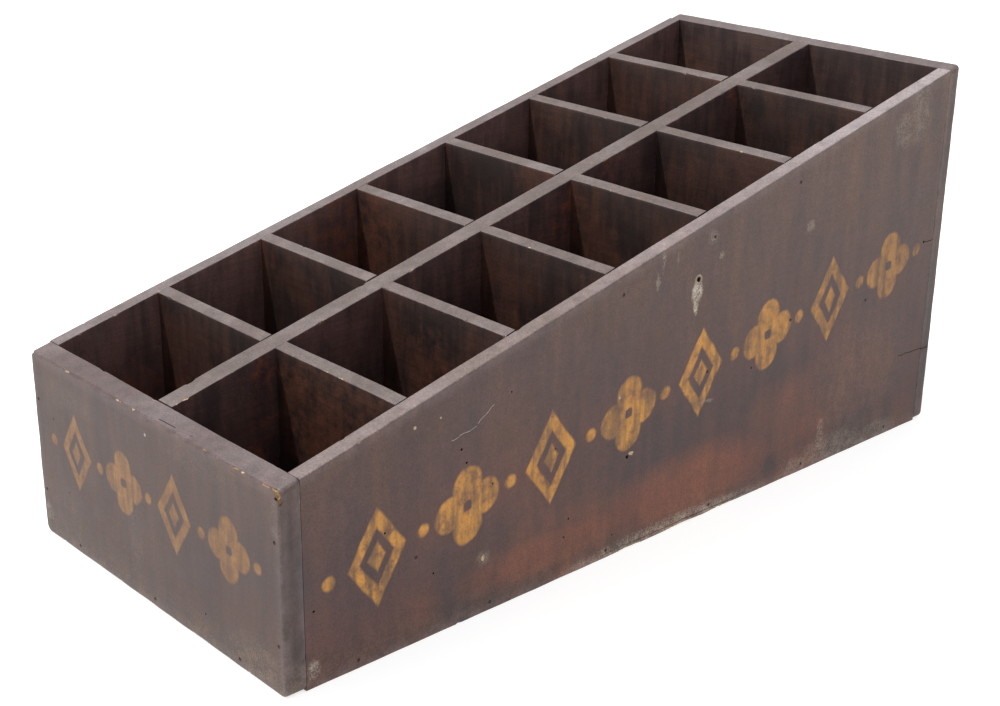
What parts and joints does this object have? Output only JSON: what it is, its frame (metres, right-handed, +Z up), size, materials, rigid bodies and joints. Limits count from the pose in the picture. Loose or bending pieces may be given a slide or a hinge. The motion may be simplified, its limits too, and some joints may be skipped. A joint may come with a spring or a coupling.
{
  "type": "countertop display case",
  "caption": "Nailed wooden counter bin with a sloping open top, a low front, a tall rear and rows of open compartments.",
  "frame": {"origin": "middle of the underside, where the case stands on the counter", "axes": "+X to the right seen from the low front, +Y from the low front to the tall rear, +Z up"},
  "size_m": [0.298, 0.66, 0.3026],
  "materials": {
    "painted_case_wood": "old dark purple-brown paint, worn and dull",
    "stained_divider_wood": "dark brown stain, lighter where the top edges are rubbed",
    "bottom_wood": "dark stain inside, bare aged wood underneath",
    "rusty_nail_steel": "dull rusted wire nails"
  },
  "bodies": {
    "root": {"front_board": "painted_case_wood", "rear_board": "painted_case_wood", "side_board_left": "painted_case_wood", "side_board_right": "painted_case_wood", "bottom_board": "bottom_wood", "centre_divider": "stained_divider_wood", "cross_divider_1": "stained_divider_wood", "cross_divider_2": "stained_divider_wood", "cross_divider_3": "stained_divider_wood", "cross_divider_4": "stained_divider_wood", "cross_divider_5": "stained_divider_wood", "cross_divider_6": "stained_divider_wood", "nails_front_left": "rusty_nail_steel", "nails_front_right": "rusty_nail_steel", "nails_rear_left": "rusty_nail_steel", "nails_rear_right": "rusty_nail_steel", "nails_centre_front": "rusty_nail_steel", "nails_centre_rear": "rusty_nail_steel", "nails_dividers_left": "rusty_nail_steel", "nails_dividers_right": "rusty_nail_steel", "nails_bottom_left": "rusty_nail_steel", "nails_bottom_right": "rusty_nail_steel", "nails_bottom_front": "rusty_nail_steel", "nails_bottom_rear": "rusty_nail_steel"}
  },
  "joints": []
}
